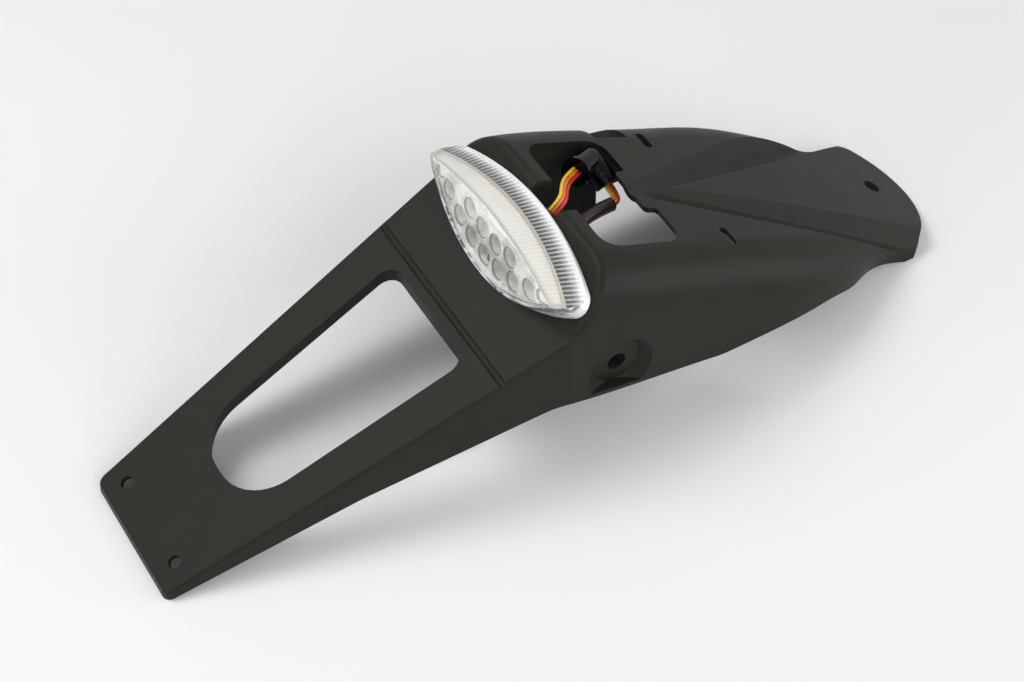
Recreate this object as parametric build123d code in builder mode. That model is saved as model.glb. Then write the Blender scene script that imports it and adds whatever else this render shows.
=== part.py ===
import os
from math import cos, degrees, pi, radians, sin, sqrt, tan

from build123d import *

# Tail tidy: a moulded plate holder with a clear LED tail lamp and its short lead.
# +X runs from the plate end to the front tip, Y is across, +Z is up. Millimetres and degrees.

# Moulding
wall = 3.0
flange_flare = 3.5
edge_radius = 2.0
form_height = 150.0

# Plate arm
plate_end_x = -225.0
plate_end_z = 5.4
plate_half_width = 38.8
plate_corner_radius = 5.0
arm_slope = 22.2
crease_x = -55.5
crease_radius = 2.2
crease_depth = 1.1

# Brow, hump and wings
brow_foot_x = -21.0
brow_foot_half_width = 68.2
brow_slope = 47.0
brow_edge_radius = 4.0
hump_x = 3.0
hump_z = 115.6
tip_x = 225.0
tip_z = 3.5
crown_sag = 4.2
side_half_width = 61.0
shoulder_radius = 24.0
wing_full_x = 134.0
wing_bend_x = 160.0
wing_bend_half_width = 54.8
wing_narrow_x = 175.0
wing_narrow_half_width = 46.4
wing_end_x = 191.0
wing_end_half_width = 41.0
wing_end_radius = 10.0
nose_radius = 50.0
section_pitch = 40.0

# Lower edge of the side walls
arch_rear_x = -128.0
arch_rear_z = 27.5
arch_x = -28.0
arch_z = 48.0
arch_mid_x = 66.0
arch_mid_z = 28.5
arch_front_x = 135.0
arch_front_z = 28.5
arch_toe_x = 197.0
arch_radius = 40.0

# Channels that set the tongue off from the wings
channel_start_x = 52.7
channel_start_z = 88.8
channel_end_x = 194.3
channel_end_y = 41.8
channel_end_z = 8.1
channel_radius = 5.0
channel_lead_in = 22.0

# Openings in the moulding
window_rear_x = -176.5
window_rear_half_width = 26.5
window_rear_radius = 25.5
window_front_x = -61.7
window_front_half_width = 35.4
window_front_radius = 8.0
window_collar = 2.5
window_collar_depth = 7.0
cutout_rear_x = 12.0
cutout_front_x = 55.5
cutout_half_width = 38.4
cutout_radius = 9.0
cutout_floor_z = 60.5
tab_reach = 6.5
tab_half_width = 14.0
tab_radius = 2.5
web_low_z = 43.0
notch_half_width = 11.0
notch_rear_x = -8.0
notch_radius = 4.0

# Fixing holes
plate_hole_x = -214.0
plate_hole_pitch = 53.0
plate_hole_diameter = 6.5
tip_hole_x = 204.0
tip_hole_diameter = 9.0
slot_x = 82.0
slot_y = 37.5
slot_length = 12.0
slot_width = 4.4
pocket_x = 5.5
pocket_z = 56.0
pocket_radius = 12.5
pocket_slope = 52.0
pocket_reach = 8.0
pocket_rim_radius = 19.0
pocket_floor_y = 60.0
pocket_lip = 2.5
pocket_hole_diameter = 10.0
pocket_boss_length = 7.0
relief_x = 63.5
relief_z = 86.0
relief_radius = 10.5
relief_floor_y = 40.5

# Lamp
lens_foot_x = -33.2
lens_top_x = 0.5
lens_lower_radius = 86.0
lens_upper_radius = 151.0
lens_tip_radius = 8.0
lens_rim = 3.0
rear_facet_angle = 37.5
top_facet_taper = 36.5
lens_wall = 2.2
seal_thickness = 1.0
seal_edge = 0.5
seal_width = 4.8
fit = 0.3
flute_count = 41
flute_pitch = 2.4
flute_width = 2.1
flute_depth = 0.8
flute_length = 9.0
board_setback = 13.0
board_thickness = 1.6
tub_half_length = 40.5
tub_edge = 7.5
tub_wall = 2.0
tub_depth = 16.0
opening_clearance = 0.5
cup_mouth_radius = 5.4
cup_base_radius = 3.0
cup_pitch = 12.2
cup_lower_rise = 9.0
cup_upper_rise = 20.5
bowl_y = 46.0
bowl_rise = 6.5
bowl_radius = 5.0
bowl_shallow = 0.55
reflector_gap = 0.6
led_radius = 2.3
led_height = 4.0

# Lamp screws
screw_y = 46.5
screw_rise = 14.5
screw_diameter = 4.0
screw_hole_clearance = 0.4
screw_head_diameter = 8.0
screw_head_height = 2.6
screw_grip = 3.5
screw_tip_gap = 0.5
screw_drive = 3.4
boss_radius = 5.0

# Wiring
wire_diameter = 1.6
wire_pitch = 1.85
wire_end_gap = 0.1
lead_tuck = 10.5
grommet_drop = 10.0
grommet_radius = 3.7
grommet_flange_radius = 5.2
grommet_flange = 2.0
grommet_nose = 4.0
grommet_seat = 0.2
bend_share = 0.45
boot_radius = 6.4
boot_recess_radius = 5.2
boot_recess = 2.0
heel_recess = 11.0
boot_collar_radius = 7.4
boot_collar = 2.5
sleeve_diameter = 7.0
sleeve_bore_radius = 2.8
plug_length = 24.0
plug_width = 14.0
plug_height = 11.0
plug_cavity_depth = 9.0
plug_wall = 1.6
terminal_diameter = 1.6
terminal_length = 7.0
terminal_pitch = 4.6
lamp_wire_start_run = 8.0
lamp_wire_end_run = 8.0
lamp_wire_middle = (17.0, 8.0, 107.0)
boot_points = [(32.0, 22.0, 97.0), (45.5, 30.7, 90.2), (49.3, 19.3, 82.3)]
lead_heel_run = 6.0
lead_sleeve_run = 2.0
sleeve_points = [
    (45.1, 8.4, 80.0),
    (33.0, 7.3, 81.6),
    (20.5, 4.0, 80.5),
    (12.0, -1.5, 71.0),
    (7.5, -8.0, 57.0),
    (5.0, -14.0, 39.0),
    (0.0, -19.0, 21.0),
    (-11.0, -21.5, 8.0),
    (-27.0, -22.5, 3.9),
    (-44.0, -22.0, 5.5),
    (-60.0, -22.0, 5.5),
]
wire_names = ["yellow", "orange", "red"]

# Main planes and lines that follow from the sizes
across = Vector(0, 1, 0)
arm_dir = Vector(cos(radians(arm_slope)), 0, sin(radians(arm_slope)))
brow_dir = Vector(cos(radians(brow_slope)), 0, sin(radians(brow_slope)))


def arm_top(x):
    return plate_end_z + (x - plate_end_x) * tan(radians(arm_slope))


def brow_top(x):
    return arm_top(brow_foot_x) + (x - brow_foot_x) * tan(radians(brow_slope))


brow_foot = Vector(brow_foot_x, 0, arm_top(brow_foot_x))
arm_plane = Plane(brow_foot, x_dir=arm_dir, z_dir=arm_dir.cross(across))
brow_plane = Plane(brow_foot, x_dir=brow_dir, z_dir=brow_dir.cross(across))

crown_start = Vector(hump_x, 0, hump_z)
crown_chord = Vector(tip_x, 0, tip_z) - crown_start
crown_up = crown_chord.normalized().cross(across)
crown_radius = crown_chord.length**2 / (8 * crown_sag) + crown_sag / 2
crown_centre = crown_start + crown_chord * 0.5 - crown_up * (crown_radius - crown_sag)


def crown_top(x):
    return crown_centre.Z + sqrt(crown_radius**2 - (x - crown_centre.X) ** 2)


def crown_normal(x):
    return (Vector(x, 0, crown_top(x)) - crown_centre).normalized()


lens_foot = Vector(lens_foot_x, 0, arm_top(lens_foot_x))
lens_reach = Vector(lens_top_x, 0, brow_top(lens_top_x)) - lens_foot
lens_depth = lens_reach.length
lamp_plane = Plane(lens_foot, x_dir=lens_reach, z_dir=lens_reach.normalized().cross(across))
facet_foot = lamp_plane.from_local_coords(Vector(0, 0, lens_rim))
facet_dir = lamp_plane.x_dir.rotate(Axis.Y, -rear_facet_angle)
facet_plane = Plane(facet_foot, x_dir=facet_dir, z_dir=facet_dir.cross(across))
board_plane = facet_plane.offset(-board_setback)


# Moulded body
def arm_form(inset):
    """The tapered arm under its flat top, drawn in by inset."""
    with BuildPart() as form:
        with BuildSketch(Plane.XY):
            with BuildLine():
                rear = plate_end_x + inset
                edge = Polyline(
                    (rear, 0),
                    (rear, inset - plate_half_width),
                    (brow_foot_x, inset - brow_foot_half_width),
                    (cutout_rear_x - wall, inset + wall - brow_foot_half_width),
                    (cutout_rear_x - wall, 0),
                )
                mirror(edge, about=Plane.XZ)
            make_face()
        extrude(amount=form_height, taper=flange_flare)
        split(bisect_by=arm_plane.offset(-inset), keep=Keep.BOTTOM)
        if not inset:
            corners = form.edges().filter_by_position(Axis.X, rear - edge_radius, rear + edge_radius)
            fillet(corners.filter_by(Axis.Y, reverse=True), plate_corner_radius)
            rims = form.faces().sort_by(Axis(brow_foot, arm_plane.z_dir)).last.edges()
            fillet(rims.filter_by_position(Axis.X, rear - edge_radius, brow_foot_x), edge_radius)
    return form.part


def nose_outline(inset):
    """Plan of the rounded nose, drawn in by inset."""
    with BuildSketch(Plane.XY) as outline:
        with Locations((tip_x - nose_radius, 0)):
            Circle(nose_radius - inset)
            Rectangle(2 * form_height + tip_x, 2 * form_height, align=(Align.MAX, Align.CENTER))
    return outline.sketch


def channel(inset, side):
    """One V channel with a round floor, widened by inset."""
    root = Vector(channel_start_x, 0, channel_start_z)
    run = Vector(channel_end_x, side * channel_end_y, channel_end_z) - root
    heading = run.normalized()
    sideways = Vector(0, 0, 1).cross(heading)
    start = root - heading * channel_lead_in
    with BuildPart() as cut:
        with BuildSketch(Plane(start, x_dir=sideways, z_dir=heading)):
            with BuildLine():
                floor = -inset * sqrt(2)
                reach = form_height / 2
                sides = FilletPolyline(
                    (-reach, floor + reach), (0, floor), (reach, floor + reach), radius=channel_radius + inset
                )
                Line(sides @ 1, sides @ 0)
            make_face()
        extrude(amount=run.length + 2 * channel_lead_in)
    return cut.part


def hump_section(x, half_width, radius, inset):
    """Section of the hump square to its crown at x, drawn in by inset."""
    heading = across.cross(crown_normal(x))
    with BuildSketch(Plane(Vector(x, 0, crown_top(x)), x_dir=-across, z_dir=-heading)) as section:
        with BuildLine():
            flare = form_height * tan(radians(flange_flare))
            side = half_width - inset
            skin = FilletPolyline(
                (-side - flare, -form_height),
                (-side, -inset),
                (side, -inset),
                (side + flare, -form_height),
                radius=radius - inset,
            )
            Line(skin @ 1, skin @ 0)
        make_face()
    return section.sketch


def hump_form(inset):
    """The arched hump, wings and tongue under their skin, drawn in by inset."""
    full = [(wing_full_x - section_pitch * n, side_half_width, shoulder_radius) for n in range(5, -1, -1)]
    narrow = [
        (wing_bend_x, wing_bend_half_width, shoulder_radius),
        (wing_narrow_x, wing_narrow_half_width, (shoulder_radius + wing_end_radius) / 2),
    ]
    nose = [(wing_end_x + section_pitch / 2 * n, wing_end_half_width, wing_end_radius) for n in range(4)]
    with BuildPart() as form:
        loft([hump_section(*station, inset) for station in full + narrow + nose])
        split(bisect_by=Plane.YZ.offset(brow_foot_x), keep=Keep.TOP)
        split(bisect_by=brow_plane.offset(-inset), keep=Keep.BOTTOM)
        if not inset:
            brow_rim = form.faces().sort_by(Axis(brow_foot, brow_plane.z_dir)).last.edges()
            fillet(brow_rim.filter_by_position(Axis.X, brow_foot_x + wall, tip_x), brow_edge_radius)
        extrude(nose_outline(inset), amount=form_height, both=True, mode=Mode.INTERSECT)
        for side_sign in (-1, 1):
            add(channel(inset, side_sign), mode=Mode.SUBTRACT)
    return form.part


with BuildPart() as outer:
    add(arm_form(0))
    add(hump_form(0))

with BuildPart() as inner:
    add(arm_form(wall))
    add(hump_form(wall))

with BuildPart() as floor_cut:
    with BuildSketch(Plane.XZ):
        with BuildLine():
            lower_edge = FilletPolyline(
                (plate_end_x, 0),
                (arch_rear_x, arch_rear_z),
                (arch_x, arch_z),
                (arch_mid_x, arch_mid_z),
                (arch_front_x, arch_front_z),
                (arch_toe_x, 0),
                radius=arch_radius,
            )
            Polyline(
                lower_edge @ 1,
                (tip_x + nose_radius, 0),
                (tip_x + nose_radius, -2 * form_height),
                (plate_end_x - nose_radius, -2 * form_height),
                (plate_end_x - nose_radius, 0),
                lower_edge @ 0,
            )
        make_face()
    extrude(amount=form_height, both=True)

with BuildPart() as solid_form:
    add(outer.part)
    add(floor_cut.part, mode=Mode.SUBTRACT)


def side_plug(x, z, radius, floor_y, side):
    """A round plug along Y that reaches from floor_y out past the side wall."""
    with BuildPart() as plug:
        with BuildSketch(Plane((x, side * floor_y, z), x_dir=(1, 0, 0), z_dir=(0, side, 0))):
            Circle(radius)
        extrude(amount=form_height)
    return plug.part


def pocket_plug(side):
    """The dished pocket round a side bolt, which leaves a lip above the lower edge."""
    with BuildPart() as plug:
        seat = Vector(pocket_x, side * pocket_floor_y, pocket_z)
        with BuildSketch(Plane(seat, x_dir=(1, 0, 0), z_dir=(0, side, 0))):
            Circle(pocket_radius)
        extrude(amount=pocket_reach, taper=-pocket_slope)
        add(floor_cut.part.moved(Location((0, 0, pocket_lip))), mode=Mode.SUBTRACT)
    return plug.part


def backed(plug):
    """The part of a plug that lies inside the moulding."""
    with BuildPart() as cup:
        add(solid_form.part)
        add(plug, mode=Mode.INTERSECT)
    return cup.part


def leaf(inset, half_length=0):
    """Lamp outline between two arcs, drawn in by inset and cut square at half_length if that is given."""
    with BuildSketch(lamp_plane) as outline:
        with Locations((lens_lower_radius, 0)):
            Circle(lens_lower_radius - inset)
        with Locations((lens_depth - lens_upper_radius, 0)):
            Circle(lens_upper_radius - inset, mode=Mode.INTERSECT)
        if half_length:
            with Locations((lens_depth / 2, 0)):
                Rectangle(2 * lens_depth, 2 * half_length, mode=Mode.INTERSECT)
        else:
            fillet(outline.vertices(), max(lens_tip_radius - inset, seal_thickness))
    return outline.sketch


def tub_leaf(inset):
    """Outline of the lamp's tub, drawn in by inset."""
    return leaf(tub_edge + inset, tub_half_length - inset)


def prism(outline, low, high):
    """An outline carried along the lamp axis from low to high."""
    with BuildPart() as block:
        extrude(outline.moved(Location(lamp_plane.z_dir * low)), amount=high - low, dir=lamp_plane.z_dir)
    return block.part


def above_body(block, gap):
    """The part of a block that stands gap clear of the arm and the brow."""
    with BuildPart() as kept:
        add(block)
        split(bisect_by=arm_plane.offset(gap), keep=Keep.TOP)
        split(bisect_by=brow_plane.offset(gap), keep=Keep.TOP)
    return kept.part


screw_seat = brow_plane.from_local_coords(Vector(screw_rise, 0, 0))
screw_planes = [
    Plane(screw_seat + across * (side * screw_y), x_dir=across, z_dir=brow_plane.z_dir) for side in (-1, 1)
]
with BuildSketch(Plane.XY) as window:
    Polygon(
        (window_rear_x, -window_rear_half_width),
        (window_front_x, -window_front_half_width),
        (window_front_x, window_front_half_width),
        (window_rear_x, window_rear_half_width),
        align=None,
    )
    fillet(window.vertices().sort_by(Axis.X)[:2], window_rear_radius)
    fillet(window.vertices().sort_by(Axis.X)[-2:], window_front_radius)

with BuildSketch(Plane.XY) as collar_outline:
    add(window.sketch)
    offset(amount=window_collar)

with BuildPart() as collar:
    extrude(collar_outline.sketch, amount=form_height)
    split(bisect_by=arm_plane.offset(-window_collar_depth), keep=Keep.TOP)
    split(bisect_by=arm_plane.offset(-wall / 2), keep=Keep.BOTTOM)

# Webs that hang from both sides of the wiring cut-out
web_y = cutout_half_width + wall / 2
cutout_middle_x = (cutout_rear_x + cutout_front_x) / 2
with BuildPart() as webs:
    with BuildSketch(Plane.XY.offset(web_low_z)):
        for side in (-1, 1):
            with Locations((cutout_middle_x, side * web_y)):
                Rectangle(cutout_front_x - cutout_rear_x, wall)
    extrude(amount=form_height)

bolt_boss_radius = pocket_hole_diameter / 2 + wall
bolt_boss_y = pocket_floor_y - pocket_boss_length
with BuildPart() as body:
    add(solid_form.part)
    add(inner.part, mode=Mode.SUBTRACT)
    add(collar.part)
    add(backed(webs.part))
    for side in (-1, 1):
        add(backed(side_plug(pocket_x, pocket_z, pocket_rim_radius, pocket_floor_y - wall, side)))
        add(backed(side_plug(pocket_x, pocket_z, bolt_boss_radius, bolt_boss_y, side)))
        add(pocket_plug(side), mode=Mode.SUBTRACT)
        bolt_hole = side_plug(pocket_x, pocket_z, pocket_hole_diameter / 2, web_y + wall, side)
        add(bolt_hole, mode=Mode.SUBTRACT)
    add(backed(side_plug(relief_x, relief_z, relief_radius + wall, relief_floor_y - wall, 1)))
    add(side_plug(relief_x, relief_z, relief_radius, relief_floor_y, 1), mode=Mode.SUBTRACT)
    # Wiring cut-out with its centre tab, and its notch for the wires
    with BuildSketch(Plane.XY.offset(form_height)) as cutout:
        with Locations((cutout_middle_x, 0)):
            RectangleRounded(cutout_front_x - cutout_rear_x, 2 * cutout_half_width, cutout_radius)
        with Locations(((notch_rear_x + cutout_rear_x + cutout_radius) / 2, 0)):
            RectangleRounded(cutout_rear_x + cutout_radius - notch_rear_x, 2 * notch_half_width, notch_radius)
        with Locations((cutout_front_x - tab_reach / 2, 0)):
            Rectangle(tab_reach, 2 * tab_half_width, mode=Mode.SUBTRACT)
        tab_corners = cutout.vertices().filter_by_position(Axis.Y, -tab_half_width, tab_half_width)
        fillet(tab_corners.sort_by(Axis.X)[-4:], tab_radius)
    extrude(amount=cutout_floor_z - form_height, mode=Mode.SUBTRACT)
    # Window in the arm
    extrude(window.sketch, amount=form_height, mode=Mode.SUBTRACT)
    # Crease across the arm
    crease_seat = Vector(crease_x, 0, arm_top(crease_x)) + arm_plane.z_dir * (crease_radius - crease_depth)
    with BuildSketch(Plane(crease_seat, x_dir=(1, 0, 0), z_dir=across)):
        Circle(crease_radius)
    extrude(amount=form_height, both=True, mode=Mode.SUBTRACT)
    # Fixing holes
    for side in (-1, 1):
        hole_seat = Vector(plate_hole_x, side * plate_hole_pitch / 2, arm_top(plate_hole_x))
        with BuildSketch(Plane(hole_seat, x_dir=arm_dir, z_dir=arm_plane.z_dir)):
            Circle(plate_hole_diameter / 2)
        extrude(amount=plate_hole_diameter, both=True, mode=Mode.SUBTRACT)
    tip_seat = Vector(tip_hole_x, 0, crown_top(tip_hole_x))
    with BuildSketch(Plane(tip_seat, x_dir=across, z_dir=crown_normal(tip_hole_x))):
        Circle(tip_hole_diameter / 2)
    extrude(amount=tip_hole_diameter, both=True, mode=Mode.SUBTRACT)
    with BuildSketch(Plane.XY):
        with Locations((slot_x, slot_y), (slot_x, -slot_y)):
            SlotOverall(slot_length, slot_width, rotation=90)
    extrude(amount=form_height, mode=Mode.SUBTRACT)
    # Lamp opening and lamp screw holes
    add(prism(tub_leaf(-opening_clearance), -tub_depth, tub_depth), mode=Mode.SUBTRACT)
    for plane in screw_planes:
        with BuildSketch(plane):
            Circle(screw_diameter / 2 + screw_hole_clearance)
        extrude(amount=2 * wall, both=True, mode=Mode.SUBTRACT)
body.part.label = "body"
os.makedirs("parts", exist_ok=True)
export_step(body.part, "parts/body.step")


# Lamp lens
def lens_form(inset):
    """Two-faceted lamp form, drawn in by inset."""
    upper_centre = lamp_plane.from_local_coords(Vector(lens_depth - lens_upper_radius, 0, 0))
    bend = lens_rim - inset * tan(radians(top_facet_taper / 2))
    top = bend + lens_depth
    with BuildPart() as form:
        add(prism(leaf(inset), -tub_depth, 2 * lens_depth))
        split(bisect_by=facet_plane.offset(-inset), keep=Keep.BOTTOM)
        with BuildSketch(Plane(upper_centre, x_dir=lamp_plane.x_dir, z_dir=-across)):
            rim = lens_upper_radius - inset
            Polygon(
                (0, -2 * tub_depth),
                (rim, -2 * tub_depth),
                (rim, bend),
                (rim - lens_depth * tan(radians(top_facet_taper)), top),
                (0, top),
                align=None,
            )
        revolve(axis=Axis(upper_centre, lamp_plane.z_dir), mode=Mode.INTERSECT)
    return form.part


reflector_skin = lens_wall + reflector_gap
flute_radius = (flute_width**2 / 4 + flute_depth**2) / (2 * flute_depth)
flute_rise = Vector(-sin(radians(top_facet_taper)), 0, cos(radians(top_facet_taper)))
flute_out = Vector(cos(radians(top_facet_taper)), 0, sin(radians(top_facet_taper)))
with BuildPart() as flute:
    rim_bend = Vector(lens_depth - lens_wall, 0, lens_rim - lens_wall * tan(radians(top_facet_taper / 2)))
    flute_foot = rim_bend + flute_out * (flute_depth - flute_radius)
    foot = lamp_plane.from_local_coords(flute_foot)
    rise = lamp_plane.from_local_coords(flute_foot + flute_rise) - foot
    with BuildSketch(Plane(foot, x_dir=across, z_dir=rise)):
        Circle(flute_radius)
    extrude(amount=flute_length)
upper_centre = lamp_plane.from_local_coords(Vector(lens_depth - lens_upper_radius, 0, 0))
upper_axis = Axis(upper_centre, lamp_plane.z_dir)
flute_step = degrees(flute_pitch / (lens_upper_radius - lens_wall))

with BuildPart() as lamp_lens:
    add(above_body(lens_form(0), seal_thickness))
    add(lens_form(lens_wall), mode=Mode.SUBTRACT)
    add(
        [flute.part.rotate(upper_axis, flute_step * (n - (flute_count - 1) / 2)) for n in range(flute_count)],
        mode=Mode.SUBTRACT,
    )
lamp_lens.part.label = "lamp_lens"
export_step(lamp_lens.part, "parts/lamp_lens.step")

# Seal under the lens
with BuildPart() as lens_seal:
    add(above_body(prism(leaf(seal_edge), -tub_depth, tub_depth), 0))
    add(above_body(prism(leaf(seal_edge), -tub_depth, tub_depth), seal_thickness), mode=Mode.SUBTRACT)
    add(prism(leaf(seal_edge + seal_width), -tub_depth, tub_depth), mode=Mode.SUBTRACT)
lens_seal.part.label = "lens_seal"
export_step(lens_seal.part, "parts/lens_seal.step")

# Grommet in the tub's front wall
tub_front = lens_depth - tub_edge
grommet_plane = Plane(
    lamp_plane.from_local_coords(Vector(tub_front, 0, -grommet_drop)), x_dir=across, z_dir=lamp_plane.x_dir
)
with BuildPart() as grommet_hole:
    with BuildSketch(grommet_plane):
        Circle(grommet_radius)
    extrude(amount=3 * tub_wall, both=True)

# Lamp housing: a flange on the seal, a tub through the opening, a ledge for the board and two screw bosses
board_back = board_plane.offset(-board_thickness)
with BuildPart() as tub_room:
    add(prism(tub_leaf(tub_wall), -tub_depth, 2 * lens_depth))
    split(bisect_by=board_back, keep=Keep.TOP)
with BuildPart() as tub_pit:
    add(prism(tub_leaf(2 * tub_wall), tub_wall - tub_depth, tub_depth))
    split(bisect_by=board_back, keep=Keep.BOTTOM)
flange_top = seal_thickness + tub_wall
with BuildPart() as lamp_housing:
    add(above_body(lens_form(lens_wall + fit), seal_thickness))
    add(above_body(prism(leaf(0), -2 * tub_depth, 2 * tub_depth), flange_top), mode=Mode.SUBTRACT)
    add(prism(tub_leaf(0), -tub_depth, 0))
    add(above_body(prism(leaf(0), -2 * tub_depth, 2 * tub_depth), flange_top), mode=Mode.SUBTRACT)
    for plane in screw_planes:
        with BuildSketch(plane.offset(seal_thickness)):
            Circle(boss_radius)
        extrude(amount=tub_wall + screw_grip)
    add(tub_room.part, mode=Mode.SUBTRACT)
    add(tub_pit.part, mode=Mode.SUBTRACT)
    for plane in screw_planes:
        with BuildSketch(plane):
            Circle(screw_diameter / 2)
        extrude(amount=tub_wall + screw_grip, mode=Mode.SUBTRACT)
    add(grommet_hole.part, mode=Mode.SUBTRACT)
lamp_housing.part.label = "lamp_housing"
export_step(lamp_housing.part, "parts/lamp_housing.step")

# Circuit board on the tub's ledge
with BuildPart() as led_board:
    add(prism(tub_leaf(tub_wall + fit), -tub_depth, 2 * lens_depth))
    add(lens_form(reflector_skin), mode=Mode.INTERSECT)
    split(bisect_by=board_plane, keep=Keep.BOTTOM)
    split(bisect_by=board_back, keep=Keep.TOP)
led_board.part.label = "led_board"
export_step(led_board.part, "parts/led_board.step")


# Reflector with a cup over each LED and a blind bowl at each end
def facet_rise(y):
    """Distance up the facet from its foot to the lower arc of the lens."""
    return (lens_lower_radius - sqrt(lens_lower_radius**2 - y**2)) / cos(radians(rear_facet_angle))


lower_cups = [(facet_rise(cup_pitch * n) + cup_lower_rise, cup_pitch * n) for n in range(-3, 4)]
upper_cups = [
    (facet_rise(cup_pitch * (n + 0.5)) + cup_upper_rise, cup_pitch * (n + 0.5)) for n in range(-2, 2)
]
end_bowls = [(facet_rise(bowl_y) + bowl_rise, side * bowl_y) for side in (-1, 1)]
cup_depth = board_setback - reflector_skin

with BuildPart() as reflector_root:
    add(prism(tub_leaf(tub_wall + fit), -tub_depth, lens_depth))
    add(prism(leaf(reflector_skin), -tub_depth, 2 * lens_depth), mode=Mode.INTERSECT)
    split(bisect_by=board_plane, keep=Keep.TOP)
    split(bisect_by=facet_plane.offset(-reflector_skin), keep=Keep.BOTTOM)
    add(lens_form(reflector_skin), mode=Mode.INTERSECT)
with BuildPart() as lamp_reflector:
    add(above_body(lens_form(reflector_skin), flange_top))
    split(bisect_by=board_plane, keep=Keep.TOP)
    add(reflector_root.part)
    for rise, y in lower_cups + upper_cups:
        with Locations(board_plane.location * Pos(rise, y, cup_depth / 2)):
            Cone(cup_base_radius, cup_mouth_radius, cup_depth, mode=Mode.SUBTRACT)
    for rise, y in end_bowls:
        with Locations(facet_plane.location * Pos(rise, y, bowl_radius * bowl_shallow - reflector_skin)):
            Sphere(bowl_radius, mode=Mode.SUBTRACT)
    for plane in screw_planes:
        with BuildSketch(plane):
            Circle(boss_radius + fit)
        extrude(amount=seal_thickness + tub_wall + screw_grip + fit, mode=Mode.SUBTRACT)
lamp_reflector.part.label = "lamp_reflector"
export_step(lamp_reflector.part, "parts/lamp_reflector.step")

with BuildPart() as tail_leds:
    for rise, y in lower_cups + upper_cups:
        with Locations(board_plane.location * Pos(rise, y, (led_height - led_radius) / 2)):
            Cylinder(led_radius, led_height - led_radius)
        with Locations(board_plane.location * Pos(rise, y, led_height - led_radius)):
            Sphere(led_radius, arc_size1=0)
tail_leds.part.label = "tail_leds"
export_step(tail_leds.part, "parts/tail_leds.step")

# Lamp screws from inside the brow
with BuildPart() as lamp_screws:
    for plane in screw_planes:
        with BuildSketch(plane.offset(-wall)):
            Circle(screw_diameter / 2)
        extrude(amount=wall + tub_wall + screw_grip - screw_tip_gap)
        with BuildSketch(plane.offset(-wall)):
            Circle(screw_head_diameter / 2)
        extrude(amount=-screw_head_height)
        with BuildSketch(plane.offset(-wall - screw_head_height)):
            RegularPolygon(screw_drive / 2, 6)
        extrude(amount=screw_head_height / 2, mode=Mode.SUBTRACT)
lamp_screws.part.label = "lamp_screws"
export_step(lamp_screws.part, "parts/lamp_screws.step")

with BuildPart() as lamp_grommet:
    with BuildSketch(grommet_plane.offset(-3 * tub_wall)):
        Circle(grommet_radius)
    extrude(amount=3 * tub_wall + grommet_flange + grommet_nose)
    with BuildSketch(grommet_plane.offset(grommet_seat)):
        Circle(grommet_flange_radius)
    extrude(amount=grommet_flange)
lamp_grommet.part.label = "lamp_grommet"
export_step(lamp_grommet.part, "parts/lamp_grommet.step")
wire_exit = grommet_plane.from_local_coords(Vector(0, 0, grommet_flange + grommet_nose))


# Wiring
def cord_radii(points):
    """Bend radius at each inner point of a cord's route, from the shorter run beside it."""
    radii = []
    for before, here, after in zip(points, points[1:], points[2:]):
        run_in = Vector(*here) - Vector(*before)
        run_out = Vector(*after) - Vector(*here)
        half_turn = radians(run_in.get_angle(run_out)) / 2
        radii.append(bend_share * min(run_in.length, run_out.length) / tan(half_turn))
    return radii


def cord(points, diameter):
    """A round cord along straight runs and tangent arcs."""
    with BuildPart() as tube:
        with BuildLine():
            route = FilletPolyline(*points, radius=cord_radii(points))
        with BuildSketch(Plane(route @ 0, z_dir=route % 0)):
            Circle(diameter / 2)
        sweep()
    print("cord", round(route.length, 1), "mm, radii", [round(r, 1) for r in cord_radii(points)])
    print("  volume over section times length", tube.part.volume / (route.length * pi * diameter**2 / 4))
    return tube.part


def wire_shift(place):
    """Sideways step of a wire from the middle of its bundle."""
    return wire_pitch * (place - (len(wire_names) - 1) / 2)


def spread(points, direction, shift):
    """A route moved as a whole along direction."""
    return [tuple(Vector(*point) + direction.normalized() * shift) for point in points]


def beside(points, normal, shift):
    """A flat route moved sideways in its own plane, as the next wire of a bundle goes round a bend."""
    spots = [Vector(*point) for point in points]
    sides = [normal.cross(after - before).normalized() for before, after in zip(spots, spots[1:])]
    moved = [spots[0] + sides[0] * shift]
    for spot, side_in, side_out in zip(spots[1:], sides, sides[1:]):
        moved.append(spot + (side_in + side_out) * (shift / (1 + side_in.dot(side_out))))
    moved.append(spots[-1] + sides[-1] * shift)
    return [tuple(spot) for spot in moved]


boot_mouth = Vector(*boot_points[0])
boot_elbow = Vector(*boot_points[1])
boot_heel = Vector(*boot_points[2])
boot_in = (boot_elbow - boot_mouth).normalized()
boot_out = (boot_heel - boot_elbow).normalized()
with BuildPart() as wire_boot:
    with BuildSketch(Plane(boot_mouth, z_dir=boot_in)):
        Circle(boot_radius)
    extrude(amount=(boot_elbow - boot_mouth).length)
    with BuildSketch(Plane(boot_elbow, z_dir=boot_out)):
        Circle(boot_radius)
    extrude(amount=(boot_heel - boot_elbow).length)
    with Locations(boot_elbow):
        Sphere(boot_radius)
    with BuildSketch(Plane(boot_mouth, z_dir=boot_in)):
        Circle(boot_collar_radius)
    extrude(amount=boot_collar)
    with BuildSketch(Plane(boot_mouth, z_dir=boot_in)):
        Circle(boot_recess_radius)
    extrude(amount=boot_recess, mode=Mode.SUBTRACT)
    with BuildSketch(Plane(boot_heel, z_dir=-boot_out)):
        Circle(boot_recess_radius)
    extrude(amount=heel_recess, mode=Mode.SUBTRACT)
wire_boot.part.label = "wire_boot"
export_step(wire_boot.part, "parts/wire_boot.step")

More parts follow.
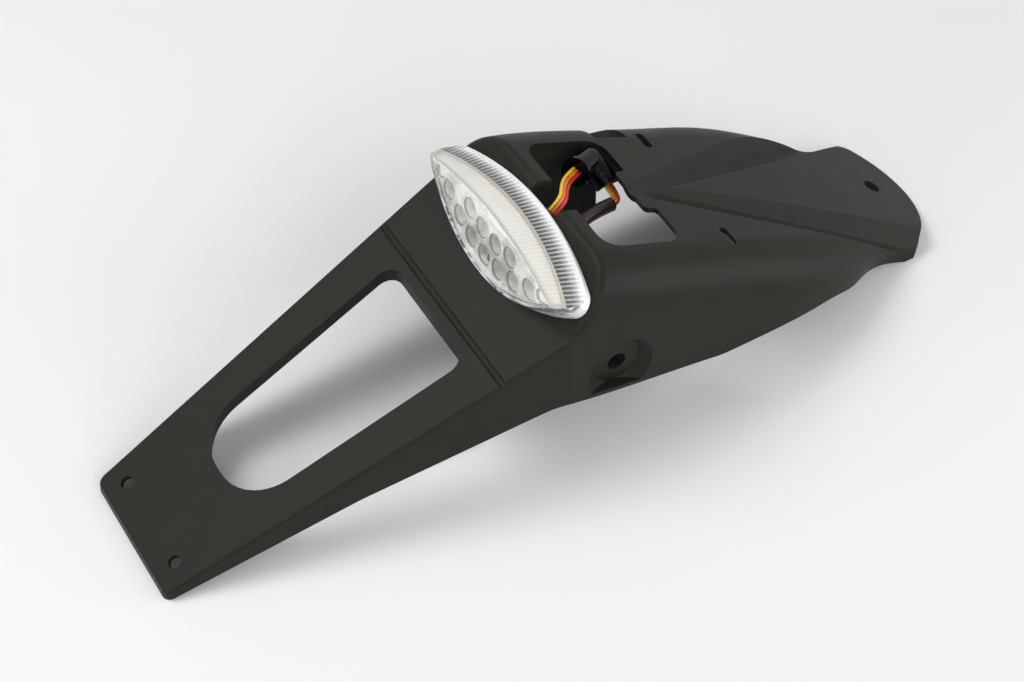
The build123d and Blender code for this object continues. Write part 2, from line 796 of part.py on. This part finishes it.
lamp_wire_points = [
    tuple(wire_exit + lamp_plane.x_dir * wire_end_gap),
    tuple(wire_exit + lamp_plane.x_dir * lamp_wire_start_run),
    lamp_wire_middle,
    tuple(boot_mouth - boot_in * lamp_wire_end_run),
    tuple(boot_mouth + boot_in * (boot_recess - wire_end_gap)),
]
lamp_wire_spread = boot_in.cross(lamp_plane.x_dir)
sleeve_mouth = Vector(*sleeve_points[0])
sleeve_in = (Vector(*sleeve_points[1]) - sleeve_mouth).normalized()
lead_wire_points = [
    tuple(boot_heel - boot_out * lead_tuck),
    tuple(boot_heel + boot_out * lead_heel_run),
    tuple(sleeve_mouth - sleeve_in * lead_sleeve_run),
    tuple(sleeve_mouth + sleeve_in * lead_tuck),
]
lead_wire_normal = sleeve_in.cross(boot_out).normalized()
for place, name in enumerate(wire_names):
    with BuildPart() as lamp_wire:
        add(cord(spread(lamp_wire_points, lamp_wire_spread, wire_shift(place)), wire_diameter))
    lamp_wire.part.label = "lamp_wire_" + name
    export_step(lamp_wire.part, "parts/lamp_wire_" + name + ".step")
for place, name in enumerate(wire_names):
    with BuildPart() as lead_wire:
        add(cord(beside(lead_wire_points, lead_wire_normal, wire_shift(place)), wire_diameter))
    lead_wire.part.label = "lead_wire_" + name
    export_step(lead_wire.part, "parts/lead_wire_" + name + ".step")

with BuildPart() as lead_sleeve:
    add(cord(sleeve_points, sleeve_diameter))
    with BuildSketch(Plane(sleeve_mouth, z_dir=sleeve_in)):
        Circle(sleeve_bore_radius)
    extrude(amount=heel_recess, mode=Mode.SUBTRACT)
lead_sleeve.part.label = "lead_sleeve"
export_step(lead_sleeve.part, "parts/lead_sleeve.step")

# Plug on the end of the lead, lying on the floor under the arm
plug_mouth = Vector(*sleeve_points[-1]) - Vector(plug_length, 0, 0)
with BuildPart() as plug_housing:
    with BuildSketch(Plane(Vector(*sleeve_points[-1]), x_dir=across, z_dir=(-1, 0, 0))):
        RectangleRounded(plug_width, plug_height, plug_wall)
    extrude(amount=plug_length)
    with BuildSketch(Plane(plug_mouth, x_dir=across, z_dir=(1, 0, 0))):
        RectangleRounded(plug_width - 2 * plug_wall, plug_height - 2 * plug_wall, plug_wall / 2)
    extrude(amount=plug_cavity_depth, mode=Mode.SUBTRACT)
plug_housing.part.label = "plug_housing"
export_step(plug_housing.part, "parts/plug_housing.step")

with BuildPart() as plug_terminals:
    with BuildSketch(Plane(plug_mouth + Vector(plug_cavity_depth, 0, 0), x_dir=across, z_dir=(-1, 0, 0))):
        with GridLocations(terminal_pitch, terminal_pitch, 2, 2):
            Circle(terminal_diameter / 2)
    extrude(amount=terminal_length)
plug_terminals.part.label = "plug_terminals"
export_step(plug_terminals.part, "parts/plug_terminals.step")
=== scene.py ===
from math import tau

import bpy
from mathutils import Matrix, Vector


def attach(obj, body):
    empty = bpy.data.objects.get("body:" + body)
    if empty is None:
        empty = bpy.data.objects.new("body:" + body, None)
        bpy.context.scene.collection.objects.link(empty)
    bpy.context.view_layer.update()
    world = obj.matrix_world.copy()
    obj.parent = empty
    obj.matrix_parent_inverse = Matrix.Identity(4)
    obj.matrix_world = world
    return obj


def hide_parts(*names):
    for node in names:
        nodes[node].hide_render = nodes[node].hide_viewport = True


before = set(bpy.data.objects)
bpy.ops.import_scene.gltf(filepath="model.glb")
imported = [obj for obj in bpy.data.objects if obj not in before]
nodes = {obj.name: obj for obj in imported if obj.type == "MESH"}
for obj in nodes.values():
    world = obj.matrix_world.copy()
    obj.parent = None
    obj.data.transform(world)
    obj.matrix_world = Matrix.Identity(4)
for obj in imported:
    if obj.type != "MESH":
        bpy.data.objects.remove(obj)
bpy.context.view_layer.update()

# Camera, fitted to the photograph
CAMERA_PLACE = Vector((-0.39011, -0.63344, 0.90009))
CAMERA_RIGHT = Vector((0.86121, -0.50825, 0.0))
CAMERA_UP = Vector((0.38957, 0.66011, 0.64226))
CAMERA_LENS = 81.464
SENSOR_WIDTH = 36.0

# Cord routes in metres, the control points of part.py
WIRE_DIAMETER = 0.0016
WIRE_PITCH = 0.00185
SLEEVE_DIAMETER = 0.007
CORD_SIDE_STEPS = 6
CORD_ROUTE_STEPS = 16
LAMP_WIRE_ROUTE = [
    (0.00582, 0.0, 0.10312),
    (0.01189, 0.0, 0.10818),
    (0.017, 0.008, 0.107),
    (0.02581, 0.01801, 0.10012),
    (0.03347, 0.02295, 0.09626),
]
LAMP_WIRE_SPREAD = Vector((0.340, -0.847, -0.409))
LEAD_WIRE_ROUTE = [
    (0.046526, 0.027623, 0.088068),
    (0.050885, 0.014544, 0.079004),
    (0.047075, 0.008580, 0.079739),
    (0.034733, 0.007458, 0.081371),
]
LEAD_WIRE_NORMAL = Vector((0.1583, -0.5262, 0.8355))
SLEEVE_ROUTE = [
    (0.0451, 0.0084, 0.08),
    (0.033, 0.0073, 0.0816),
    (0.0205, 0.004, 0.0805),
    (0.012, -0.0015, 0.071),
    (0.0075, -0.008, 0.057),
    (0.005, -0.014, 0.039),
    (0.0, -0.019, 0.021),
    (-0.011, -0.0215, 0.008),
    (-0.027, -0.0225, 0.0039),
    (-0.044, -0.022, 0.0055),
    (-0.06, -0.022, 0.0055),
]

# Lamp in metres and radians, from part.py: the lens stands along LENS_OUT and its flutes face LENS_ALONG
LENS_FOOT = Vector((-0.0332, 0.0, 0.08367))
LENS_ALONG = Vector((0.7687, 0.0, 0.6396))
LENS_OUT = Vector((-0.6396, 0.0, 0.7687))
LENS_ACROSS = Vector((0.0, 1.0, 0.0))
LENS_DEPTH = 0.04384
LENS_UPPER_RADIUS = 0.151
LENS_HEIGHT = 0.026
FLUTE_ANGLE = 0.01613
REFLECTOR_OUT = Vector((-0.97537, 0.0, 0.22058))
REFLECTOR_FACE = 0.05042

# Lens: less clear at its rim, up to a span of its height, and on the facet that faces LENS_ALONG
RIM_SPAN = (0.11, 0.2)
RIM_CLEARNESS = 0.4
LENS_CLEARNESS = 0.93
FLUTED_FACING = (0.1, 0.3)
FLUTED_VEIL = -0.5

# Flutes: a painted highlight on the part of each wave that is lit, how strongly over the lens height, and
# the painted shade between them
FLUTE_CREST = (0.1, 0.7)
FLUTE_LIGHT = [
    (0.14, (0, 0, 0)),
    (0.16, (0.75, 0.75, 0.75)),
    (0.46, (0.45, 0.45, 0.45)),
    (0.475, (0.2, 0.2, 0.2)),
]
FLUTE_SHADE = [
    (0.13, (0.97, 0.97, 0.97)),
    (0.2, (0.6, 0.6, 0.61)),
    (0.33, (0.14, 0.14, 0.14)),
    (0.46, (0.05, 0.05, 0.045)),
    (0.475, (0.68, 0.64, 0.54)),
    (0.55, (0.66, 0.64, 0.6)),
    (0.9, (0.7, 0.69, 0.67)),
]

# Reflector: painted shade as a dark line over the top of each cup's depth, and facets of uneven brightness
# that are a painted reflection
CUP_SHADE_REACH = 0.003
CUP_PAINTED_SHADE = [
    (0.5, (1, 1, 1)),
    (0.62, (0.4, 0.4, 0.4)),
    (0.84, (0.25, 0.25, 0.25)),
    (0.94, (1, 1, 1)),
]
FACET_SIZE = 0.005
FACET_SHEEN_TONES = [(0.3, (0.76, 0.76, 0.75)), (0.55, (1, 1, 1))]

# Finishes: colours and roughness drift over patches, and a fine grain gives the relief
DRIFT_SPAN = (0.3, 0.7)
DRIFT_DETAIL = 5
GRAIN_DETAIL = 2
FINISHES = {
    "body_plastic": dict(dark=(0.0128, 0.0128, 0.01), light=(0.0168, 0.0168, 0.0133), patch=0.02,
                         rough=(0.4, 0.48), grain=0.0006, relief=0.3, Specular_IOR_Level=0.13),
    "lens_clear": dict(dark=(0.95, 0.95, 0.94), light=(0.98, 0.98, 0.97), patch=0.01,
                       rough=(0.02, 0.04), grain=0.004, relief=0.02, IOR=1.49),
    "reflector_metal": dict(dark=(0.85, 0.845, 0.83), light=(1.0, 0.995, 0.98), patch=0.004,
                            rough=(0.1, 0.2), grain=0.004, relief=0.4, Metallic=0.2),
    "housing_plastic": dict(dark=(0.012, 0.012, 0.012), light=(0.018, 0.018, 0.018), patch=0.01,
                            rough=(0.3, 0.4), grain=0.0005, relief=0.1),
    "seal_rubber": dict(dark=(0.015, 0.015, 0.015), light=(0.022, 0.022, 0.022), patch=0.01,
                        rough=(0.6, 0.75), grain=0.0005, relief=0.2),
    "board_white": dict(dark=(0.72, 0.72, 0.68), light=(0.8, 0.8, 0.76), patch=0.01,
                        rough=(0.3, 0.4), grain=0.0005, relief=0.05),
    "led_clear": dict(dark=(0.9, 0.86, 0.6), light=(0.95, 0.92, 0.7), patch=0.002,
                      rough=(0.05, 0.1), grain=0.001, relief=0.02),
    "screw_steel": dict(dark=(0.5, 0.5, 0.5), light=(0.6, 0.6, 0.6), patch=0.002,
                        rough=(0.25, 0.4), grain=0.0003, relief=0.1, Metallic=1.0),
    "wire_yellow": dict(dark=(0.8, 0.5, 0.03), light=(0.88, 0.6, 0.05), patch=0.004,
                        rough=(0.3, 0.4), grain=0.0004, relief=0.1),
    "wire_orange": dict(dark=(0.75, 0.16, 0.015), light=(0.8, 0.2, 0.02), patch=0.004,
                        rough=(0.3, 0.4), grain=0.0004, relief=0.1),
    "wire_red": dict(dark=(0.5, 0.02, 0.012), light=(0.58, 0.03, 0.015), patch=0.004,
                     rough=(0.3, 0.4), grain=0.0004, relief=0.1),
    "boot_vinyl": dict(dark=(0.002, 0.002, 0.002), light=(0.004, 0.004, 0.004), patch=0.006,
                       rough=(0.05, 0.1), grain=0.002, relief=0.06, Specular_IOR_Level=0.1),
    "sleeve_vinyl": dict(dark=(0.012, 0.008, 0.008), light=(0.03, 0.012, 0.012), patch=0.01,
                         rough=(0.3, 0.42), grain=0.0006, relief=0.15),
    "plug_plastic": dict(dark=(0.66, 0.64, 0.58), light=(0.74, 0.72, 0.66), patch=0.008,
                         rough=(0.35, 0.45), grain=0.0006, relief=0.1),
    "terminal_brass": dict(dark=(0.62, 0.45, 0.18), light=(0.72, 0.54, 0.24), patch=0.003,
                           rough=(0.2, 0.35), grain=0.0003, relief=0.1, Metallic=1.0),
    "floor_paper": dict(dark=(0.85, 0.85, 0.85), light=(0.87, 0.87, 0.87), patch=0.3,
                        rough=(0.8, 0.9), grain=0.002, relief=0.02),
}
NODE_FINISHES = {
    "body": "body_plastic",
    "lamp_lens": "lens_clear",
    "lamp_reflector": "reflector_metal",
    "lamp_housing": "housing_plastic",
    "lens_seal": "seal_rubber",
    "led_board": "board_white",
    "tail_leds": "led_clear",
    "lamp_screws": "screw_steel",
    "lamp_grommet": "seal_rubber",
    "wire_boot": "boot_vinyl",
    "plug_housing": "plug_plastic",
    "plug_terminals": "terminal_brass",
}

# Studio: the floor fades into a white backdrop, and an even dome and soft boxes give the light
FLOOR_HALF = 3.0
FLOOR_FADE = (0.4, 1.2)
BACKDROP_STRENGTH = 0.9
DOME_STRENGTH = 0.34
WHITE = (1, 1, 1, 1)
SOFT_BOXES = {
    "key": dict(place=Vector((-0.55, 0.45, 1.3)), size=0.7, power=9.5),
    "fill": dict(place=Vector((0.0, -1.4, 1.0)), size=1.0, power=9.0),
    "front": dict(place=Vector((1.1, -0.8, 0.45)), size=0.8, power=7.5),
    "rear": dict(place=Vector((-1.4, -0.1, 0.5)), size=0.7, power=4.8),
}


def feed(tree, socket, value):
    """Links another node's socket to an input, or sets the input to a value."""
    if isinstance(value, bpy.types.NodeSocket):
        tree.links.new(value, socket)
    else:
        socket.default_value = value


def add_node(tree, kind, operation="", **inputs):
    """Outputs of a new node, whose inputs go by their names, or by _0 and so on for their places."""
    made = tree.nodes.new(kind)
    if operation:
        made.operation = operation
    for name, value in inputs.items():
        place = int(name[1:]) if name[1:].isdigit() else name.replace("_", " ")
        feed(tree, made.inputs[place], value)
    return made.outputs


def add_ramp(tree, value, stops):
    """Colour ramp over a value, from pairs of position and colour."""
    made = tree.nodes.new("ShaderNodeValToRGB")
    marks = made.color_ramp.elements
    marks[0].position, marks[0].color = stops[0][0], (*stops[0][1], 1)
    marks[1].position, marks[1].color = stops[-1][0], (*stops[-1][1], 1)
    for position, colour in stops[1:-1]:
        marks.new(position).color = (*colour, 1)
    tree.links.new(value, made.inputs["Fac"])
    return made.outputs["Color"]


def mix_colours(tree, share, first, second, blend="MIX"):
    """Colour mix, whose colour sockets are inputs 6 and 7 and output 2 of the mix node."""
    made = tree.nodes.new("ShaderNodeMix")
    made.data_type = "RGBA"
    made.blend_type = blend
    feed(tree, made.inputs["Factor"], share)
    tree.links.new(first, made.inputs[6])
    tree.links.new(second, made.inputs[7])
    return made.outputs[2]


def mix_shaders(tree, share, first, second, output):
    """Shader mix that goes to the named output node."""
    mixed = add_node(tree, "ShaderNodeMixShader", _0=share, _1=first, _2=second)["Shader"]
    tree.links.new(mixed, tree.nodes[output].inputs["Surface"])


def height_along(tree, direction, kind="Object"):
    """Place, or normal, of the surface along a direction."""
    place = add_node(tree, "ShaderNodeTexCoord")[kind]
    return add_node(tree, "ShaderNodeVectorMath", "DOT_PRODUCT", _0=place, _1=direction)["Value"]


def span(tree, value, low, high, **inputs):
    """Value mapped from a span to nought and one, or to the ends given."""
    return add_node(tree, "ShaderNodeMapRange", Value=value, From_Min=low, From_Max=high, **inputs)[0]


def grained(name, dark, light, patch, rough, grain, relief, **sockets):
    """Principled material: noise drifts its colour and roughness, and a finer noise gives the bump."""
    material = bpy.data.materials.new(name)
    material.use_nodes = True
    tree = material.node_tree
    shader = tree.nodes["Principled BSDF"]
    for socket, value in sockets.items():
        shader.inputs[socket.replace("_", " ")].default_value = value

    place = add_node(tree, "ShaderNodeTexCoord")["Object"]
    drift = add_node(tree, "ShaderNodeTexNoise", Vector=place, Scale=1 / patch, Detail=DRIFT_DETAIL)["Fac"]
    fine = add_node(tree, "ShaderNodeTexNoise", Vector=place, Scale=1 / grain, Detail=GRAIN_DETAIL)["Fac"]
    colour = add_ramp(tree, drift, list(zip(DRIFT_SPAN, (dark, light))))
    gloss = span(tree, drift, *DRIFT_SPAN, To_Min=rough[0], To_Max=rough[1])
    bump = add_node(tree, "ShaderNodeBump", Strength=relief, Distance=grain, Height=fine)["Normal"]
    tree.links.new(colour, shader.inputs["Base Color"])
    tree.links.new(gloss, shader.inputs["Roughness"])
    tree.links.new(bump, shader.inputs["Normal"])
    return material


def paint_cup_shade_and_facet_sheen(material):
    """Paints the reflector's facets unevenly bright as a painted reflection, and paints shade as a dark
    line just inside the mouth of each cup.
    """
    tree = material.node_tree
    base = tree.nodes["Principled BSDF"].inputs["Base Color"]
    # Painted shade: a dark line over the top 3 mm of each cup, just inside its mouth
    height = height_along(tree, REFLECTOR_OUT)
    level = span(tree, height, REFLECTOR_FACE - CUP_SHADE_REACH, REFLECTOR_FACE)
    line = add_ramp(tree, level, CUP_PAINTED_SHADE)
    # Painted reflection: Voronoi cells make the reflector's facets unevenly bright
    place = add_node(tree, "ShaderNodeTexCoord")["Object"]
    cells = add_node(tree, "ShaderNodeTexVoronoi", Vector=place, Scale=1 / FACET_SIZE)["Color"]
    facet_sheen = add_ramp(tree, cells, FACET_SHEEN_TONES)
    lined = mix_colours(tree, 1, base.links[0].from_socket, line, "MULTIPLY")
    tree.links.new(mix_colours(tree, 1, lined, facet_sheen, "MULTIPLY"), base)


def flute_lens(material):
    """Makes the lens clear, milkier at its rim and on the facet with the flutes, and paints highlights and
    shade on the flutes.
    """
    tree = material.node_tree
    shader = tree.nodes["Principled BSDF"]
    base = shader.inputs["Base Color"]
    plain = base.links[0].from_socket
    foot = LENS_FOOT.dot(LENS_OUT)
    rise = span(tree, height_along(tree, LENS_OUT), foot, foot + LENS_HEIGHT)
    front = span(tree, height_along(tree, LENS_ALONG, "Normal"), *FLUTED_FACING)

    # Waves by the angle around the axis that the flutes turn about
    centre = LENS_FOOT.dot(LENS_ALONG) + LENS_DEPTH - LENS_UPPER_RADIUS
    out = add_node(tree, "ShaderNodeMath", "SUBTRACT", _0=height_along(tree, LENS_ALONG), _1=centre)[0]
    across = height_along(tree, LENS_ACROSS)
    angle = add_node(tree, "ShaderNodeMath", "ARCTAN2", _0=across, _1=out)[0]
    turn = add_node(tree, "ShaderNodeMath", "MULTIPLY", _0=angle, _1=tau / FLUTE_ANGLE)[0]
    wave = add_node(tree, "ShaderNodeMath", "COSINE", _0=turn)[0]
    # Painted highlight on the crest of each flute, over painted shade that darkens away from the rim
    crest = span(tree, wave, *FLUTE_CREST)
    lit = add_node(tree, "ShaderNodeMath", "MULTIPLY", _0=crest, _1=add_ramp(tree, rise, FLUTE_LIGHT))[0]
    fluted = mix_colours(tree, lit, add_ramp(tree, rise, FLUTE_SHADE), plain)
    tree.links.new(mix_colours(tree, front, plain, fluted), base)

    clear = span(tree, rise, *RIM_SPAN, To_Min=RIM_CLEARNESS, To_Max=LENS_CLEARNESS)
    veiled = add_node(tree, "ShaderNodeMath", "MULTIPLY_ADD", _0=front, _1=FLUTED_VEIL, _2=clear)[0]
    tree.links.new(veiled, shader.inputs["Transmission Weight"])

    # Lamps shine straight through, so that the reflector is lit
    lamp_ray = add_node(tree, "ShaderNodeLightPath")["Is Shadow Ray"]
    through = add_node(tree, "ShaderNodeBsdfTransparent", Color=WHITE)["BSDF"]
    mix_shaders(tree, lamp_ray, shader.outputs["BSDF"], through, "Material Output")


def seen(tree):
    """One for rays from the camera, a reflection or a clear piece, and nought for light on the part."""
    path = add_node(tree, "ShaderNodeLightPath")
    looking = path["Is Camera Ray"]
    for kind in ("Is Glossy Ray", "Is Transmission Ray"):
        looking = add_node(tree, "ShaderNodeMath", "MAXIMUM", _0=looking, _1=path[kind])[0]
    return looking


def cord(name, points, diameter, material):
    """Tube along a NURBS spline over the route's control points, in place of the CAD node of that name."""
    curve = bpy.data.curves.new(name + "_line", "CURVE")
    curve.dimensions = "3D"
    curve.bevel_depth = diameter / 2
    curve.bevel_resolution = CORD_SIDE_STEPS
    curve.resolution_u = CORD_ROUTE_STEPS
    curve.use_fill_caps = True
    spline = curve.splines.new("NURBS")
    spline.points.add(len(points) - 1)
    for control, point in zip(spline.points, points):
        control.co = (*point, 1)
    spline.order_u = 3
    spline.use_endpoint_u = True
    curve.materials.append(material)
    piece = bpy.data.objects.new(name + "_cord", curve)
    bpy.context.collection.objects.link(piece)
    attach(piece, "root")
    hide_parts(name)
    return piece


def spread(route, direction, place):
    """The route moved sideways as a whole, for one of several wires that lie side by side."""
    return [Vector(point) + direction * place for point in route]


def beside(route, normal, place):
    """The route moved sideways in the plane of its bend, so that wires go round one outside the other."""
    spots = [Vector(point) for point in route]
    sides = [normal.cross(after - before).normalized() for before, after in zip(spots, spots[1:])]
    moved = [spots[0] + sides[0] * place]
    for spot, side_in, side_out in zip(spots[1:], sides, sides[1:]):
        moved.append(spot + (side_in + side_out) * (place / (1 + side_in.dot(side_out))))
    moved.append(spots[-1] + sides[-1] * place)
    return moved


# Finishes
finishes = {name: grained(name, **finish) for name, finish in FINISHES.items()}
flute_lens(finishes["lens_clear"])
paint_cup_shade_and_facet_sheen(finishes["reflector_metal"])
for node, name in NODE_FINISHES.items():
    nodes[node].data.materials.clear()
    nodes[node].data.materials.append(finishes[name])

# Cords
wire_colours = ["yellow", "orange", "red"]
for i, colour in enumerate(wire_colours):
    place = (i - (len(wire_colours) - 1) / 2) * WIRE_PITCH
    finish = finishes["wire_" + colour]
    route = spread(LAMP_WIRE_ROUTE, LAMP_WIRE_SPREAD, place)
    wire = cord("lamp_wire_" + colour, route, WIRE_DIAMETER, finish)
    route = beside(LEAD_WIRE_ROUTE, LEAD_WIRE_NORMAL, place)
    wire = cord("lead_wire_" + colour, route, WIRE_DIAMETER, finish)

sleeve = cord("lead_sleeve", SLEEVE_ROUTE, SLEEVE_DIAMETER, finishes["sleeve_vinyl"])

# Floor
floor_mesh = bpy.data.meshes.new("floor")
floor_corners = [(-1, -1), (1, -1), (1, 1), (-1, 1)]
floor_mesh.from_pydata([(FLOOR_HALF * x, FLOOR_HALF * y, 0) for x, y in floor_corners], [], [(0, 1, 2, 3)])
floor = bpy.data.objects.new("floor", floor_mesh)
floor_mesh.materials.append(finishes["floor_paper"])
bpy.context.collection.objects.link(floor)

# The floor turns into the white backdrop away from the part, so that it keeps the shadow
tree = finishes["floor_paper"].node_tree
place = add_node(tree, "ShaderNodeTexCoord")["Object"]
distance = add_node(tree, "ShaderNodeVectorMath", "LENGTH", _0=place)["Value"]
away = span(tree, distance, *FLOOR_FADE)
away.node.interpolation_type = "SMOOTHSTEP"
share = add_node(tree, "ShaderNodeMath", "MULTIPLY", _0=away, _1=seen(tree))[0]
white = add_node(tree, "ShaderNodeEmission", Color=WHITE, Strength=BACKDROP_STRENGTH)["Emission"]
mix_shaders(tree, share, tree.nodes["Principled BSDF"].outputs["BSDF"], white, "Material Output")

# The world is the white backdrop where it is looked at, and an even dome of light elsewhere
world = bpy.data.worlds.new("studio")
bpy.context.scene.world = world
world.use_nodes = True
tree = world.node_tree
dome = tree.nodes["Background"]
dome.inputs["Color"].default_value = WHITE
dome.inputs["Strength"].default_value = DOME_STRENGTH
white = add_node(tree, "ShaderNodeBackground", Color=WHITE, Strength=BACKDROP_STRENGTH)["Background"]
mix_shaders(tree, seen(tree), dome.outputs["Background"], white, "World Output")

# Soft boxes: the key over the far side, a fill over the near side and low ones past both ends
for name, box in SOFT_BOXES.items():
    light = bpy.data.lights.new(name, "AREA")
    light.shape = "SQUARE"
    light.size = box["size"]
    light.energy = box["power"]
    lamp = bpy.data.objects.new(name, light)
    lamp.location = box["place"]
    lamp.rotation_mode = "QUATERNION"
    lamp.rotation_quaternion = box["place"].to_track_quat("Z", "Y")
    bpy.context.collection.objects.link(lamp)

# Camera
camera_data = bpy.data.cameras.new("camera")
camera_data.lens = CAMERA_LENS
camera_data.sensor_width = SENSOR_WIDTH
camera = bpy.data.objects.new("camera", camera_data)
camera_back = CAMERA_RIGHT.cross(CAMERA_UP)
camera.matrix_world = (
    Matrix.Translation(CAMERA_PLACE)
    @ Matrix((CAMERA_RIGHT, CAMERA_UP, camera_back)).transposed().to_4x4()
)
bpy.context.collection.objects.link(camera)
bpy.context.scene.camera = camera
bpy.context.scene.view_settings.view_transform = "Standard"
